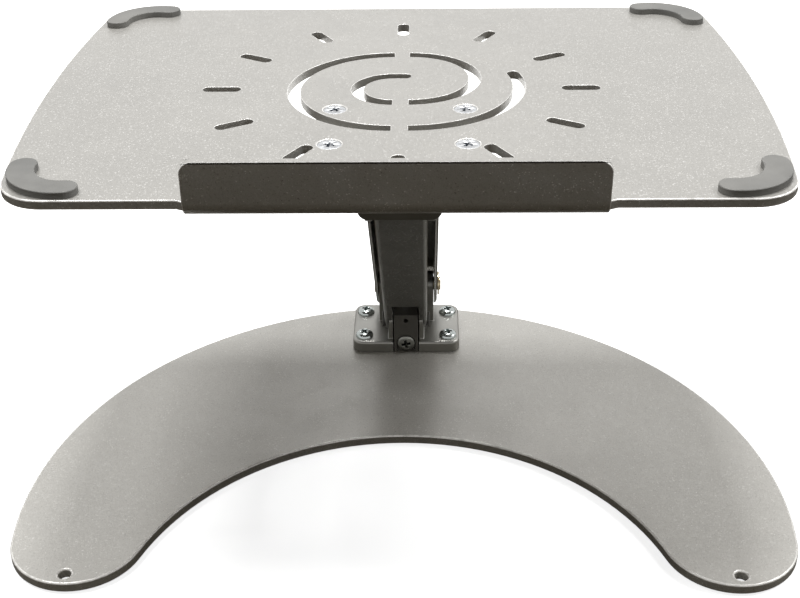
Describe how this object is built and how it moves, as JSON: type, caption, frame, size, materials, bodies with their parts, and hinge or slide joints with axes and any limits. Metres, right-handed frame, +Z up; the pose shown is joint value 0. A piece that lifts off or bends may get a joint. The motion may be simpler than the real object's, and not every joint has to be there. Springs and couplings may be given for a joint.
{
  "type": "notebook stand",
  "caption": "Height-adjustable notebook stand: vented tray with a front lip on a gas-sprung parallelogram arm over a crescent base plate.",
  "frame": {"origin": "on the table under the middle of the stand's plan outline", "axes": "+Z up, +X to the right seen by the user, -Y towards the user; the lip is at -Y and the arm's foot at +Y"},
  "size_m": [0.3832, 0.26, 0.2161],
  "materials": {
    "silver_powder_coat": "fine metallic silver-grey powder coat, satin",
    "grey_bracket_paint": "satin grey paint over casting and pressed steel",
    "grey_rubber": "matt moulded grey rubber",
    "zinc_fastener": "bright zinc plate",
    "turned_steel": "turned steel with yellow passivate",
    "nylon_bush": "black moulded nylon",
    "black_spring_paint": "black semi-gloss paint",
    "chromed_rod": "ground and chromed rod"
  },
  "bodies": {
    "base": {"base_plate": "silver_powder_coat", "base_feet": "grey_rubber", "base_bracket": "grey_bracket_paint", "bracket_screws": "zinc_fastener", "front_lower_pin": "turned_steel", "rear_lower_pin": "turned_steel", "rear_lower_ring": "turned_steel", "spring_carriage": "turned_steel", "spring_anchor_pin": "turned_steel", "tension_block": "grey_bracket_paint"},
    "adjuster": {"tension_screw": "zinc_fastener"},
    "front_link": {"front_link": "grey_bracket_paint", "front_link_bushes": "nylon_bush"},
    "rear_link": {"rear_link": "grey_bracket_paint", "rear_link_bushes": "nylon_bush", "spring_upper_pin": "turned_steel", "spring_spacers": "turned_steel"},
    "spring_tube": {"spring_tube": "black_spring_paint", "spring_top_eye": "black_spring_paint", "spring_gland": "turned_steel"},
    "spring_rod": {"spring_rod": "chromed_rod", "spring_piston": "turned_steel", "spring_rod_eye": "black_spring_paint"},
    "head": {"head_bracket": "grey_bracket_paint", "tray": "silver_powder_coat", "tray_screws": "zinc_fastener", "corner_pad_front_left": "grey_rubber", "corner_pad_front_right": "grey_rubber", "corner_pad_rear_left": "grey_rubber", "corner_pad_rear_right": "grey_rubber", "front_upper_pin": "turned_steel", "rear_upper_pin": "turned_steel", "rear_upper_ring": "turned_steel"}
  },
  "joints": [
    {"name": "arm_tilt", "type": "hinge", "parent": "base", "child": "front_link", "pos_m": [0, 0.07615, 0.0233], "axis": [1, 0, 0], "range_deg": [-25, 26]},
    {"name": "rear_link_tilt", "type": "hinge", "parent": "base", "child": "rear_link", "pos_m": [0, 0.09675, 0.036], "axis": [1, 0, 0], "range_deg": [-26, 27]},
    {"name": "head_level", "type": "hinge", "parent": "front_link", "child": "head", "pos_m": [0, -0.03988, 0.15868], "axis": [1, 0, 0], "range_deg": [-27, 26]},
    {"name": "spring_swing", "type": "hinge", "parent": "rear_link", "child": "spring_tube", "pos_m": [0, 0.0141, 0.13243], "axis": [1, 0, 0], "range_deg": [-2, 2]},
    {"name": "spring_stroke", "type": "slide", "parent": "spring_tube", "child": "spring_rod", "axis": [0, 0.5921, -0.8059], "range_m": [-0.009, 0.009]},
    {"name": "tension_adjust", "type": "hinge", "parent": "base", "child": "adjuster", "pos_m": [0, 0.06535, 0.0127], "axis": [0, -1, 0], "continuous": true}
  ],
  "couplings": [
    {"joint": "rear_link_tilt", "follows": "arm_tilt", "ratio": 1},
    {"joint": "head_level", "follows": "arm_tilt", "ratio": -1},
    {"joint": "spring_swing", "follows": "arm_tilt", "ratio": 0.041},
    {"joint": "spring_stroke", "follows": "arm_tilt", "m_per_rad": -0.0089}
  ]
}
